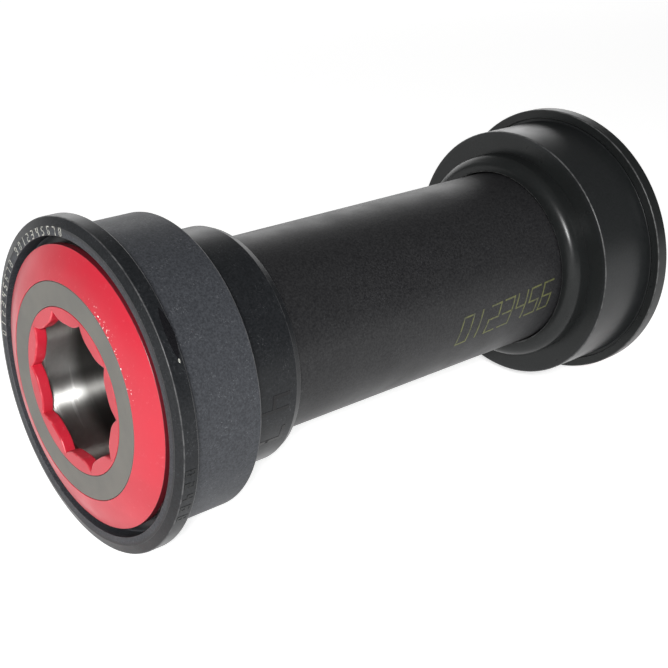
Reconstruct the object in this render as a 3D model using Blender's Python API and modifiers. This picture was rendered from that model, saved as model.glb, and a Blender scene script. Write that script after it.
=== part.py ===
"""Press-fit bottom bracket for a bicycle, with a stepped 22/24 mm spindle passage.

Two flanged cups press into a frame's bracket shell. Each cup holds a sealed ball bearing under a
dust shield, and a plain tube joins the cups inside the shell. The spindle runs along X: the
non-drive cup (nds) is at -X and the drive cup (ds) at +X. The origin is the middle of the spindle
axis, and +Z is up. Lengths are in metres.

Each side is drawn in its own frame: its local +Z points outboard along the spindle axis, and height
0 is the outer face of the cup's flange. Outlines are (radius, height) corners of a turned section.
"""
import math

import bmesh
import bpy
from mathutils import Matrix

MM = 0.001

# Overall sizes
SHELL_WIDTH = 89.5 * MM          # frame shell, between the two flange shoulders
BARREL_DIAMETER = 41.0 * MM      # pressed part of each cup, which fills the shell's bore
FLANGE_HEIGHT = 2.0 * MM         # flange past the barrel
FLANGE_THICKNESS = 2.6 * MM

# Clearances between separate pieces
SEAT_GAP = 0.2 * MM              # pieces that sit in or against each other
BALL_GAP = 0.12 * MM             # ball to raceway and ball to cage pocket
RUNNING_GAP = 0.45 * MM          # turning pieces past still ones

# Cups
EDGE_CHAMFER = 0.4 * MM
FACE_CHAMFER_WIDTH = 0.85 * MM   # bevel round the front of the flange, across the face
FACE_CHAMFER_DEPTH = 0.35 * MM
UNDERCUT_WIDTH = 0.6 * MM        # groove in the flange shoulder, round the barrel
UNDERCUT_DEPTH = 0.5 * MM
MOUTH_WALL = 2.8 * MM            # flange rim round the dust shield
CUP_WALL = 1.8 * MM              # barrel wall round the bearing
SEAT_DEPTH = 2.4 * MM            # flange face to the bearing's outer race
RETAINING_LIP = 1.8 * MM         # radial height of the step that the outer race rests on
NDS_WEB_THICKNESS = 2.1 * MM     # wall between the non-drive bearing and the tube
NDS_END_WALL = 1.15 * MM         # end of the non-drive barrel past its bearing's space
NECK_WALL = 1.15 * MM            # tube socket of the non-drive cup, outside the seal groove
NECK_LENGTH = 9.5 * MM
DS_END_WALL = 3.65 * MM          # end of the drive barrel past its bearing's space
COLLAR_WIDTH = 2.6 * MM          # rounded collar round the tube on the drive cup
COLLAR_HEIGHT = 3.4 * MM
COLLAR_ROUND = 1.8 * MM          # radius of the collar's outer shoulder
TUBE_STOP = 0.9 * MM             # radial height of the rib that the tube butts against
TUBE_STOP_THICKNESS = 0.8 * MM

# Tube and its sealing rings
TUBE_DIAMETER = 28.4 * MM
TUBE_WALL = 1.4 * MM
TUBE_CHAMFER = 0.3 * MM
O_RING_CORD = 1.2 * MM
GROOVE_WIDTH = 1.6 * MM
NECK_GROOVE_SETBACK = 2.4 * MM   # open end of the neck to the groove
COLLAR_GROOVE_SETBACK = 1.2 * MM

# Bearings, whose outside diameter follows from the cup
NDS_BORE = 22.0 * MM
NDS_WIDTH = 8.0 * MM
NDS_BALL_DIAMETER = 3.969 * MM
NDS_BALL_COUNT = 13
NDS_INBOARD_NOSE = 1.5 * MM      # inner race past the outer race, on the tube's side
DS_BORE = 24.0 * MM
DS_WIDTH = 7.0 * MM
DS_BALL_DIAMETER = 3.5 * MM
DS_BALL_COUNT = 15
DS_INBOARD_NOSE = 0.0 * MM
OUTBOARD_NOSE = 1.95 * MM        # inner race past the outer race, under the dust shield
RACEWAY_HALF_ANGLE = math.radians(58.0)  # half of the arc that a groove wraps round its ball
BORE_CHAMFER = 0.4 * MM
NOSE_CHAMFER_WIDTH = 0.8 * MM    # inboard corner of the inner race
NOSE_CHAMFER_DEPTH = 0.4 * MM
SEAL_THICKNESS = 0.8 * MM
SEAL_LEDGE = 1.3 * MM            # radial width of the ledge that holds a seal in the outer race
SEAL_RECESS = 0.15 * MM          # seal face below the race face
CAGE_WALL = 1.2 * MM
CAGE_RIM = 0.5 * MM              # cage beside a ball pocket

# Dust shields
SHIELD_EDGE_GAP = 0.55 * MM      # shield to the rim of the flange
SHIELD_EDGE_THICKNESS = 1.1 * MM
SHIELD_EDGE_RECESS = 0.2 * MM    # shield edge below the flange face
SHIELD_RISE = 1.4 * MM           # flat middle of the shield above the flange face
SHIELD_SKIRT_WALL = 1.1 * MM
SHIELD_SKIRT_LENGTH = 1.5 * MM   # skirt over the inner race
SHIELD_HUB_WALL = 0.6 * MM       # shield inside the face ring
NDS_RING_WIDTH = 3.4 * MM
DS_RING_WIDTH = 2.9 * MM
RING_RECESS = 0.8 * MM           # depth of the groove that holds the face ring
SPINDLE_GAP = 0.3 * MM           # drive shield round the spindle
LOBE_INSET = 0.4 * MM            # roots of the lobes inside the bearing's bore
LOBE_HEIGHT = 1.4 * MM
LOBE_COUNT = 10
LOBE_SHARPNESS = 3.0             # above 2 the lobes grow blunt and the notches narrow

# Fineness of the meshes
OUTER_SEGMENTS = 40
INNER_SEGMENTS = 32
RACEWAY_SEGMENTS = 4
POCKET_SIDES = 10
POINTS_PER_LOBE = 8
CORD_SIDES = 6
BALL_SEGMENTS = 8
BALL_RINGS = 6
SHARP_ANGLE = math.radians(30.0)
WELD_DISTANCE = 1e-6

# Colour, roughness, metallic
FINISHES = {
    "black_composite": ((0.012, 0.013, 0.015, 1.0), 0.45, 0.0),
    "black_tube": ((0.010, 0.010, 0.011, 1.0), 0.38, 0.0),
    "red_plastic": ((0.720, 0.040, 0.060, 1.0), 0.35, 0.0),
    "grey_ring": ((0.190, 0.185, 0.165, 1.0), 0.50, 0.3),
    "bearing_steel": ((0.560, 0.560, 0.550, 1.0), 0.18, 1.0),
    "cage_nylon": ((0.550, 0.500, 0.380, 1.0), 0.55, 0.0),
    "black_rubber": ((0.015, 0.015, 0.015, 1.0), 0.75, 0.0),
}

# Places that follow from the sizes, all measured inboard from the flange face
barrel_radius = BARREL_DIAMETER / 2
flange_radius = barrel_radius + FLANGE_HEIGHT
mouth_radius = flange_radius - MOUTH_WALL
seat_radius = barrel_radius - CUP_WALL
bearing_radius = seat_radius - SEAT_GAP
tube_radius = TUBE_DIAMETER / 2
socket_radius = tube_radius + SEAT_GAP
stop_radius = socket_radius - TUBE_STOP - SEAT_GAP
groove_radius = socket_radius + O_RING_CORD + SEAT_GAP / 2
nds_web_start = SEAT_DEPTH + NDS_WIDTH + NDS_INBOARD_NOSE + RUNNING_GAP
nds_tube_stop = nds_web_start + NDS_WEB_THICKNESS
nds_barrel_end = nds_web_start + NDS_END_WALL
neck_end = nds_barrel_end + NECK_LENGTH
ds_rib_start = SEAT_DEPTH + DS_WIDTH + DS_INBOARD_NOSE + RUNNING_GAP
ds_tube_stop = ds_rib_start + TUBE_STOP_THICKNESS
ds_barrel_end = ds_rib_start + DS_END_WALL
collar_end = ds_barrel_end + COLLAR_HEIGHT
face_to_centre = SHELL_WIDTH / 2 + FLANGE_THICKNESS
lobe_root_radius = NDS_BORE / 2 - LOBE_INSET
ds_shield_bore_radius = DS_BORE / 2 + SPINDLE_GAP


def new_collection(name):
    """A collection of the scene for one kind of object."""
    collection = bpy.data.collections.new(name)
    bpy.context.scene.collection.children.link(collection)
    return collection


def finish(name):
    """The material of this name, made on first use."""
    material = bpy.data.materials.get(name)
    if material is None:
        colour, roughness, metallic = FINISHES[name]
        material = bpy.data.materials.new(name)
        material.use_nodes = True
        shader = material.node_tree.nodes["Principled BSDF"]
        shader.inputs["Base Color"].default_value = colour
        shader.inputs["Roughness"].default_value = roughness
        shader.inputs["Metallic"].default_value = metallic
        material.diffuse_color = colour
    return material


def place(name, mesh, material_name, parent, height=0.0):
    """A part that shows this mesh, on the axis of its parent."""
    part = bpy.data.objects.new(name, mesh)
    parts.objects.link(part)
    part.parent = parent
    part.location = (0.0, 0.0, height)
    if not mesh.materials:
        mesh.materials.append(finish(material_name))
    return part


def side_frame(name, direction):
    """An empty at the flange face, with its +Z outboard; direction is -1 for -X and 1 for +X."""
    frame = bpy.data.objects.new(name, None)
    parts.objects.link(frame)
    frame.empty_display_size = flange_radius
    frame.location = (direction * face_to_centre, 0.0, 0.0)
    frame.rotation_euler = (0.0, direction * math.pi / 2, 0.0)
    return frame


def freeze(part):
    """Turn the modifiers of a part into its mesh, smooth but for its sharp edges."""
    bpy.context.view_layer.update()
    evaluated = part.evaluated_get(bpy.context.evaluated_depsgraph_get())
    mesh = bpy.data.meshes.new_from_object(evaluated)
    mesh.name = part.name
    part.modifiers.clear()
    part.data = mesh
    mesh.shade_smooth()
    mesh.set_sharp_from_angle(angle=SHARP_ANGLE)


def turned(name, outline, material_name, parent, height=0.0, segments=INNER_SEGMENTS):
    """A round part: the closed outline of (radius, height) corners, turned about the axis."""
    corners = [(radius, 0.0, level) for radius, level in outline]
    edges = [(index, (index + 1) % len(corners)) for index in range(len(corners))]
    mesh = bpy.data.meshes.new(name)
    mesh.from_pydata(corners, edges, [])
    part = place(name, mesh, material_name, parent, height)
    screw = part.modifiers.new("turn", "SCREW")
    screw.axis = "Z"
    screw.angle = 2 * math.pi
    screw.steps = segments
    screw.render_steps = segments
    screw.use_merge_vertices = True
    screw.merge_threshold = WELD_DISTANCE
    freeze(part)
    return part


def cut(part, cutter):
    """Take the cutter's volume out of the part."""
    boolean = part.modifiers.new("cut", "BOOLEAN")
    boolean.operation = "DIFFERENCE"
    boolean.solver = "EXACT"
    boolean.object = cutter
    freeze(part)


def new_cutter(name, mesh, parent, height=0.0):
    """A guide that cuts other parts and isn't one itself."""
    cutter = bpy.data.objects.new(name, mesh)
    cutters.objects.link(cutter)
    cutter.parent = parent
    cutter.location = (0.0, 0.0, height)
    cutter.hide_render = True
    cutter.display_type = "WIRE"
    return cutter


def arc(centre, radius, start, end, steps):
    """Corners on a circle round a (radius, height) centre, from one angle to another."""
    corners = []
    for index in range(steps + 1):
        angle = start + (end - start) * index / steps
        corners.append((centre[0] + radius * math.cos(angle), centre[1] + radius * math.sin(angle)))
    return corners


def cup_front(barrel_end):
    """The outline that both cups share: down the outside to the end of the barrel."""
    undercut_radius = barrel_radius + UNDERCUT_WIDTH
    undercut_floor = -FLANGE_THICKNESS + UNDERCUT_DEPTH
    return [
        (flange_radius - FACE_CHAMFER_WIDTH, 0.0),
        (flange_radius, -FACE_CHAMFER_DEPTH),
        (flange_radius, -FLANGE_THICKNESS),
        (undercut_radius, -FLANGE_THICKNESS),
        (undercut_radius, undercut_floor),
        (barrel_radius, undercut_floor),
        (barrel_radius, -barrel_end + EDGE_CHAMFER),
        (barrel_radius - EDGE_CHAMFER, -barrel_end),
    ]


def cup_mouth(bearing_width):
    """The outline that both cups share: up the bearing seat and the mouth to the flange face."""
    seat_end = SEAT_DEPTH + bearing_width + SEAT_GAP
    return [
        (seat_radius - RETAINING_LIP, -seat_end),
        (seat_radius, -seat_end),
        (seat_radius, -SEAT_DEPTH + SEAT_GAP),
        (mouth_radius, -SEAT_DEPTH + SEAT_GAP),
        (mouth_radius, 0.0),
    ]


def o_ring_groove(open_end):
    """The corners of the groove in a tube socket, from its open end inwards."""
    return [
        (socket_radius, -open_end),
        (groove_radius, -open_end),
        (groove_radius, -open_end + GROOVE_WIDTH),
        (socket_radius, -open_end + GROOVE_WIDTH),
    ]


def nds_cup(side):
    """Non-drive cup, with a long neck that the tube slides into."""
    neck_radius = groove_radius + NECK_WALL
    outline = cup_front(nds_barrel_end)
    outline += [
        (neck_radius, -nds_barrel_end),
        (neck_radius, -neck_end + EDGE_CHAMFER),
        (neck_radius - EDGE_CHAMFER, -neck_end),
        (socket_radius, -neck_end),
    ]
    outline += o_ring_groove(neck_end - NECK_GROOVE_SETBACK)
    outline += [
        (socket_radius, -nds_tube_stop),
        (stop_radius, -nds_tube_stop),
        (stop_radius, -nds_web_start),
        (seat_radius - RETAINING_LIP, -nds_web_start),
    ]
    outline += cup_mouth(NDS_WIDTH)
    return turned("nds_cup", outline, "black_composite", side, segments=OUTER_SEGMENTS)


def ds_cup(side):
    """Drive cup, closed by a web with a rounded collar round the tube."""
    collar_radius = socket_radius + COLLAR_WIDTH
    outline = cup_front(ds_barrel_end)
    outline.append((collar_radius, -ds_barrel_end))
    for angle in (math.radians(0.0), math.radians(30.0), math.radians(60.0), math.radians(90.0)):
        outline.append((collar_radius - COLLAR_ROUND * (1.0 - math.cos(angle)),
                        -collar_end + COLLAR_ROUND * (1.0 - math.sin(angle))))
    outline += [
        (socket_radius + EDGE_CHAMFER, -collar_end),
        (socket_radius, -collar_end + EDGE_CHAMFER),
    ]
    outline += o_ring_groove(collar_end - COLLAR_GROOVE_SETBACK)
    outline += [
        (socket_radius, -ds_tube_stop),
        (stop_radius, -ds_tube_stop),
        (stop_radius, -ds_rib_start),
        (seat_radius - RETAINING_LIP, -ds_rib_start),
    ]
    outline += cup_mouth(DS_WIDTH)
    return turned("ds_cup", outline, "black_composite", side, segments=OUTER_SEGMENTS)


def centre_tube(side):
    """Plain tube between the cups, butting against a stop in each; drawn in the drive side's frame."""
    near_end = ds_tube_stop + SEAT_GAP
    far_end = 2 * face_to_centre - nds_tube_stop - SEAT_GAP
    bore_radius = tube_radius - TUBE_WALL
    outline = [
        (tube_radius - TUBE_CHAMFER, -near_end),
        (tube_radius, -near_end - TUBE_CHAMFER),
        (tube_radius, -far_end + TUBE_CHAMFER),
        (tube_radius - TUBE_CHAMFER, -far_end),
        (bore_radius, -far_end),
        (bore_radius, -near_end),
    ]
    return turned("centre_tube", outline, "black_tube", side, segments=OUTER_SEGMENTS)


def tube_o_ring(prefix, side, groove_end):
    """Sealing ring in a tube socket's groove."""
    middle = groove_end - GROOVE_WIDTH / 2
    cord_centre = (tube_radius + groove_radius) / 2
    section = arc((cord_centre, -middle), O_RING_CORD / 2, 0.0, -2 * math.pi, CORD_SIDES)[:-1]
    return turned(prefix + "_tube_o_ring", section, "black_rubber", side)


class Bearing:
    """The sizes of one sealed ball bearing, and the pieces made from them."""

    def __init__(self, prefix, side, bore, width, ball_diameter, ball_count, inboard_nose):
        self.prefix = prefix
        self.side = side
        self.bore_radius = bore / 2
        self.half_width = width / 2
        self.ball_diameter = ball_diameter
        self.ball_count = ball_count
        self.inboard_nose = inboard_nose
        self.pitch_radius = (self.bore_radius + bearing_radius) / 2
        half_step = RACEWAY_HALF_ANGLE / RACEWAY_SEGMENTS
        self.groove_radius = (ball_diameter / 2 + BALL_GAP) / math.cos(half_step)
        shoulder = self.groove_radius * math.cos(RACEWAY_HALF_ANGLE)
        self.inner_land = self.pitch_radius - shoulder
        self.outer_land = self.pitch_radius + shoulder
        self.ledge_radius = bearing_radius - SEAL_LEDGE
        self.height = -SEAT_DEPTH - self.half_width
        self.seal_space = SEAL_THICKNESS + SEAL_RECESS + SEAT_GAP

    def turn(self, name, outline, material_name):
        return turned(self.prefix + name, outline, material_name, self.side, self.height)

    def raceway(self, middle):
        """The corners of a ball groove round its middle angle: 0 faces out, a half turn faces in."""
        first = middle - RACEWAY_HALF_ANGLE
        last = middle + RACEWAY_HALF_ANGLE
        centre = (self.pitch_radius, 0.0)
        return arc(centre, self.groove_radius, first, last, RACEWAY_SEGMENTS)

    def outer_race(self):
        """Still race in the cup, with a ledge for a seal on each face."""
        half = self.half_width
        step = half - self.seal_space
        outline = [(bearing_radius, half), (bearing_radius, -half), (self.ledge_radius, -half)]
        outline += [(self.ledge_radius, -step), (self.outer_land, -step)]
        outline += self.raceway(0.0)
        outline += [(self.outer_land, step), (self.ledge_radius, step), (self.ledge_radius, half)]
        return self.turn("_outer_race", outline, "bearing_steel")

    def inner_race(self):
        """Turning race on the spindle, longer than the outer race."""
        top = self.half_width + OUTBOARD_NOSE
        bottom = -self.half_width - self.inboard_nose
        outline = [(self.inner_land, top - BORE_CHAMFER)]
        outline += self.raceway(math.pi)
        outline += [
            (self.inner_land, bottom + NOSE_CHAMFER_DEPTH),
            (self.inner_land - NOSE_CHAMFER_WIDTH, bottom),
            (self.bore_radius + BORE_CHAMFER, bottom),
            (self.bore_radius, bottom + BORE_CHAMFER),
            (self.bore_radius, top - BORE_CHAMFER),
            (self.bore_radius + BORE_CHAMFER, top),
            (self.inner_land - BORE_CHAMFER, top),
        ]
        return self.turn("_inner_race", outline, "bearing_steel")

    def seal(self, name, facing):
        """Lipped rubber seal in the ledge of the outer race; facing is 1 outboard, -1 inboard."""
        outside = self.ledge_radius - SEAT_GAP
        inside = self.inner_land + SEAT_GAP
        lip = inside + SEAL_THICKNESS
        outer_face = self.half_width - SEAL_RECESS
        inner_face = outer_face - SEAL_THICKNESS
        middle = (outer_face + inner_face) / 2
        outline = [
            (outside, outer_face),
            (outside, inner_face),
            (lip, inner_face),
            (inside, middle),
            (lip, outer_face),
        ]
        if facing < 0:
            outline = [(radius, -level) for radius, level in reversed(outline)]
        return self.turn(name, outline, "black_rubber")

    def ball_place(self, index):
        angle = 2 * math.pi * index / self.ball_count
        return Matrix.Rotation(angle, 4, "Z")

    def balls(self):
        """The ring of balls, each one a part, all sharing one mesh."""
        mesh = bpy.data.meshes.new(self.prefix + "_ball")
        shape = bmesh.new()
        bmesh.ops.create_uvsphere(
            shape, u_segments=BALL_SEGMENTS, v_segments=BALL_RINGS, radius=self.ball_diameter / 2)
        shape.to_mesh(mesh)
        shape.free()
        mesh.shade_smooth()
        for index in range(self.ball_count):
            name = f"{self.prefix}_ball_{index + 1:02d}"
            ball = place(name, mesh, "bearing_steel", self.side)
            outwards = Matrix.Translation((self.pitch_radius, 0.0, self.height))
            ball.matrix_local = self.ball_place(index) @ outwards

    def ball_cage(self):
        """Nylon ring that keeps the balls apart, with a round pocket for each."""
        pocket_radius = self.ball_diameter / 2 + BALL_GAP
        half = pocket_radius + CAGE_RIM
        inside = self.pitch_radius - CAGE_WALL / 2
        outside = self.pitch_radius + CAGE_WALL / 2
        outline = [(outside, half), (outside, -half), (inside, -half), (inside, half)]
        cage = self.turn("_ball_cage", outline, "cage_nylon")
        shape = bmesh.new()
        across = pocket_radius / math.cos(math.pi / POCKET_SIDES)
        sideways = Matrix.Rotation(math.pi / 2, 4, "Y")
        for index in range(self.ball_count):
            outwards = Matrix.Translation((self.pitch_radius, 0.0, 0.0))
            bmesh.ops.create_cone(
                shape, cap_ends=True, segments=POCKET_SIDES, radius1=across, radius2=across,
                depth=CAGE_WALL * 2, matrix=self.ball_place(index) @ outwards @ sideways)
        mesh = bpy.data.meshes.new(self.prefix + "_pockets")
        shape.to_mesh(mesh)
        shape.free()
        cut(cage, new_cutter(self.prefix + "_pockets", mesh, self.side, self.height))
        return cage

    def build(self):
        self.outer_race()
        self.inner_race()
        self.ball_cage()
        self.balls()
        self.seal("_outboard_seal", 1)
        self.seal("_inboard_seal", -1)


def dust_shield(prefix, bearing, bore_radius, ring_radii):
    """Dished red shield that clips over the inner race's nose and turns with it."""
    edge = mouth_radius - SHIELD_EDGE_GAP
    edge_back = -SHIELD_EDGE_RECESS - SHIELD_EDGE_THICKNESS
    hub_back = -SEAT_DEPTH + OUTBOARD_NOSE + SEAT_GAP
    skirt_inside = bearing.inner_land + SEAT_GAP
    skirt_outside = skirt_inside + SHIELD_SKIRT_WALL
    skirt_end = hub_back - SHIELD_SKIRT_LENGTH
    ring_inside, ring_outside = ring_radii
    ring_floor = SHIELD_RISE - RING_RECESS
    outline = [
        (edge, -SHIELD_EDGE_RECESS),
        (edge, edge_back),
        (skirt_outside, edge_back),
        (skirt_outside, skirt_end),
        (skirt_inside, skirt_end),
        (skirt_inside, hub_back),
        (bore_radius, hub_back),
        (bore_radius, SHIELD_RISE),
        (ring_inside, SHIELD_RISE),
        (ring_inside, ring_floor),
        (ring_outside, ring_floor),
        (ring_outside, SHIELD_RISE),
    ]
    return turned(prefix + "_dust_shield", outline, "red_plastic", bearing.side,
                  segments=OUTER_SEGMENTS)


def face_ring(prefix, side, ring_radii):
    """Flat grey ring, flush in the front of the shield."""
    inside = ring_radii[0] + SEAT_GAP
    outside = ring_radii[1] - SEAT_GAP
    top = SHIELD_RISE
    bottom = top - RING_RECESS + SEAT_GAP
    outline = [(outside, top), (outside, bottom), (inside, bottom), (inside, top)]
    return turned(prefix + "_shield_ring", outline, "grey_ring", side, segments=OUTER_SEGMENTS)


def lobed_opening(side):
    """Cutter for the lobed hole: blunt lobes that point inwards, with narrow notches between."""
    tip = lobe_root_radius - LOBE_HEIGHT
    count = LOBE_COUNT * POINTS_PER_LOBE
    outline = bpy.data.curves.new("lobed_outline", "CURVE")
    outline.dimensions = "2D"
    outline.fill_mode = "BOTH"
    outline.extrude = SHIELD_RISE + SEAT_DEPTH
    spline = outline.splines.new("POLY")
    spline.points.add(count - 1)
    spline.use_cyclic_u = True
    for index in range(count):
        share = index % POINTS_PER_LOBE / POINTS_PER_LOBE * 2 - 1
        radius = tip + LOBE_HEIGHT * abs(share) ** LOBE_SHARPNESS
        angle = 2 * math.pi * index / count
        spline.points[index].co = (radius * math.cos(angle), radius * math.sin(angle), 0.0, 1.0)
    guide = new_cutter("lobed_outline", outline, side)
    bpy.context.view_layer.update()
    evaluated = guide.evaluated_get(bpy.context.evaluated_depsgraph_get())
    mesh = bpy.data.meshes.new_from_object(evaluated)
    shape = bmesh.new()
    shape.from_mesh(mesh)
    bmesh.ops.remove_doubles(shape, verts=shape.verts, dist=WELD_DISTANCE)
    bmesh.ops.recalc_face_normals(shape, faces=shape.faces)
    shape.to_mesh(mesh)
    shape.free()
    cutter = new_cutter("lobed_opening", mesh, side)
    cutter.matrix_world = guide.matrix_world
    bpy.data.objects.remove(guide)
    return cutter


def build_non_drive_side():
    side = side_frame("nds_side", -1)
    nds_cup(side)
    tube_o_ring("nds", side, neck_end - NECK_GROOVE_SETBACK)
    bearing = Bearing("nds", side, NDS_BORE, NDS_WIDTH, NDS_BALL_DIAMETER, NDS_BALL_COUNT,
                      NDS_INBOARD_NOSE)
    bearing.build()
    inside_lobes = lobe_root_radius - LOBE_HEIGHT - SEAT_GAP
    ring_inside = lobe_root_radius + SHIELD_HUB_WALL
    ring_radii = (ring_inside, ring_inside + NDS_RING_WIDTH)
    shield = dust_shield("nds", bearing, inside_lobes, ring_radii)
    cut(shield, lobed_opening(side))
    face_ring("nds", side, ring_radii)


def build_drive_side():
    side = side_frame("ds_side", 1)
    ds_cup(side)
    centre_tube(side)
    tube_o_ring("ds", side, collar_end - COLLAR_GROOVE_SETBACK)
    bearing = Bearing("ds", side, DS_BORE, DS_WIDTH, DS_BALL_DIAMETER, DS_BALL_COUNT,
                      DS_INBOARD_NOSE)
    bearing.build()
    ring_inside = ds_shield_bore_radius + SHIELD_HUB_WALL
    ring_radii = (ring_inside, ring_inside + DS_RING_WIDTH)
    dust_shield("ds", bearing, ds_shield_bore_radius, ring_radii)
    face_ring("ds", side, ring_radii)


for leftover in list(bpy.data.objects):
    bpy.data.objects.remove(leftover)
parts = new_collection("bottom_bracket")
cutters = new_collection("cutters")
build_non_drive_side()
build_drive_side()
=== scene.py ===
"""Looks of a press-fit bicycle bottom bracket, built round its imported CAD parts.

The spindle axis is X: the non-drive cup (nds) is at -X and the drive cup (ds) at +X. Each side is
drawn in millimetres as (radius, height) corners of a turned section, where height 0 is the outer
face of the cup's flange and rises outboard along the axis.
"""
import math

import bmesh
import bpy
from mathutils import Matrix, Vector


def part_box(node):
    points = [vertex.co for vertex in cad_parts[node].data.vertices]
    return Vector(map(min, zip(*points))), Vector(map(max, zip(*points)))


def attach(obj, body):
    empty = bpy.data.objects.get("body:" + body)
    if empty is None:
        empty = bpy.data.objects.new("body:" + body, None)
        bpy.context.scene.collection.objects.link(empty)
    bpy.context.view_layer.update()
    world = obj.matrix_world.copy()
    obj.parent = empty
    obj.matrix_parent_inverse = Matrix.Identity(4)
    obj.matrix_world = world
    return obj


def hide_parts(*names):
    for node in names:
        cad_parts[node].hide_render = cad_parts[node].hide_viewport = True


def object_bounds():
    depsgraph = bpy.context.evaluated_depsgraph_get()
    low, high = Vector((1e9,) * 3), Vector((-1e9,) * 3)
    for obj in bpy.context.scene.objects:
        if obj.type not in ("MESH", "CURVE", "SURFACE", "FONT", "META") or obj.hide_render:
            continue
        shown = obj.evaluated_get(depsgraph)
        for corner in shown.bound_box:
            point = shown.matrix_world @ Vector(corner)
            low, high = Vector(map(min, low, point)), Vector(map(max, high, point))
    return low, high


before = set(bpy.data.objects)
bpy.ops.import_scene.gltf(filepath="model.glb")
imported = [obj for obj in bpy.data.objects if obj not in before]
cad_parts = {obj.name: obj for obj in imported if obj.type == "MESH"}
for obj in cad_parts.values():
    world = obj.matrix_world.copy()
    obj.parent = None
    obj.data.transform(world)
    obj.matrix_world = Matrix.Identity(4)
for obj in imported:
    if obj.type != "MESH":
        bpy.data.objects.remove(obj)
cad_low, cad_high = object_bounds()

MM = 0.001

# Fineness
SEGMENTS = 192                 # round a turned piece
FILLET_STEPS = 5
WORN_FILLET = 0.5              # rounder corners than this don't show rubbed edges
SUPPORT = 0.08                 # flat strip kept beside each fillet, so that its shading stays local
LOBE_STEPS = 24                # round one lobe
SMOOTH_ANGLE = math.radians(40)

# Sizes that the CAD boxes don't show
CUP_WALL = 1.8                 # barrel wall round the bearing
SEAT_GAP = 0.2                 # between pieces that sit in each other
FACE_CHAMFER = (1.3, 0.45)     # bevel round the front of a flange: across the face, along the axis
FLANGE_THICKNESS = 2.6
UNDERCUT = (0.6, 0.5)          # relief behind the flange's shoulder: in radius, in depth
BARREL_END = 13.5              # end of the pressed barrel, behind the face
MOUTH_GAP = 1.1                # dust shield to flange rim
SHIELD_TRIM = 0.2              # dust shield inside its CAD box
MOUTH_DEPTH = 2.2
RETAINING_LIP = 1.8            # ledge behind the bearing
TUBE_STOP = 13.3               # radius of the ledge that the tube ends against
O_RING_FLOOR = 15.7            # groove of the sealing ring: radius of its floor
O_RING_WIDTH = 1.6
O_RING_CORD = 0.6              # radius of the cord
TUBE_WALL = 1.4
NECK_RADIUS = 16.85            # tube socket of the non-drive cup
NECK_CHAMFER = (0.4, 1.0)      # at its end: across, along the axis
COLLAR_FOOT = 17.0             # collar round the tube on the drive cup: outside radius
COLLAR_ROUND = 1.85            # radius of its crown
RING_SHADOW = 0.07             # dark line round the grey ring
RING_GROOVE = 0.8              # depth of the groove that holds the grey ring
RING_THICKNESS = 0.55
RING_SINK = 0.02               # front of the grey ring below the shield's
EDGE_SINK = 0.2                # edge of the shield below the flange's face
EDGE_BACK = 1.3                # back of that edge, and of the skirt behind it
SKIRT_BACK = 1.75
WEB_BACK = 0.25                # back of the shield's middle
SKIRT_WALL = 1.1
CROWN = 0.14                   # bulge of the shield's slope
CROWN_STEPS = 8
HUB_WALL = 0.6                 # shield between its opening and the grey ring
NDS_SKIRT_INSIDE = 13.8
DS_SKIRT_INSIDE = 14.43
DS_SHIELD_BORE = 12.3
DS_RING_INSIDE = DS_SHIELD_BORE + HUB_WALL + 0.2
LOBE_ROOT = 10.6               # opening of the non-drive shield, between its lobes
LOBE_HEIGHT = 1.4
LOBE_COUNT = 10
LOBE_SHARPNESS = 3.0
LOBE_FILLET = 0.22
NDS_RING_INSIDE = LOBE_ROOT + HUB_WALL
NDS_SEAT_END = 10.6            # bearing seat, behind the face
NDS_STOP = (12.35, 14.45)      # ledge that the tube ends against: front and back
NDS_GROOVE_BACK = 2.4          # groove of the sealing ring, from the end of the neck
DS_SEAT_END = 9.6
DS_STOP = (9.85, 10.65)
DS_GROOVE_BACK = 1.2
RACEWAY_GAP = 0.12             # ball to raceway
RACEWAY_STEPS = 16
RACE_RISE = 1.95               # inner race in front of the rest of the bearing
SEAL_LEDGE = (1.3, 1.15)       # seat of a seal in the outer race: in radius, in depth
SEAL_SINK = 0.15
SEAL_THICKNESS = 0.8
BALL_FINENESS = 3

# Places in metres where a finish changes, each as (no change yet, full change)
BARREL_IN = (0.0196, 0.0200)   # radii of the matter, speckled barrel
BARREL_OUT = (0.0207, 0.0210)
SCUFF_IN = (0.0145, 0.0147)    # radii of the scuffs beside the grey ring
SCUFF_OUT = (-0.0160, -0.0148)
SCUFF_RIGHT = (0.004, 0.008)   # and the quarter that they are in
SCUFF_UPPER = (0.002, 0.006)
# Painted shade on the wall of the gap round the shield, this far inside its edge
GAP_SHADE_LINE = (0.06 * MM, 0.01 * MM)    # inside the shield's edge
BORE_SHADE = (-0.0432, -0.0408) # distance from the middle where painted shade darkens the bore

# Floor
FLOOR_SIZE = 4.0               # metres from its middle to its edge
FLOOR_CELLS = 24

# Camera: where it looks, from which side, and how far off
LOOK_AT = (-0.00376, 0.00078, -0.00450)
AZIMUTH = math.radians(-40.88)
ELEVATION = math.radians(22.63)
DISTANCE = 0.18899
LENS = 67.385


# ---------------------------------------------------------------- sizes from the frame

class Part:
    """The box of a CAD node in millimetres, as radii and heights on its side of the axis."""

    def __init__(self, node):
        low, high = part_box(node)
        self.radius = high.z / MM
        ends = (low.x / MM, high.x / MM)
        self.outboard = max(abs(end) for end in ends)
        self.inboard = min(abs(end) for end in ends)


flange = Part("nds_cup")
FACE = flange.outboard         # flange face to the middle of the axis
race = Part("nds_outer_race")
shield = Part("nds_dust_shield")
tube = Part("centre_tube")
barrel_radius = race.radius + SEAT_GAP + CUP_WALL
seat_radius = race.radius + SEAT_GAP
shield_radius = shield.radius - SHIELD_TRIM
mouth_radius = shield_radius + MOUTH_GAP
shield_rise = shield.outboard - FACE


# ---------------------------------------------------------------- turned pieces

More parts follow.
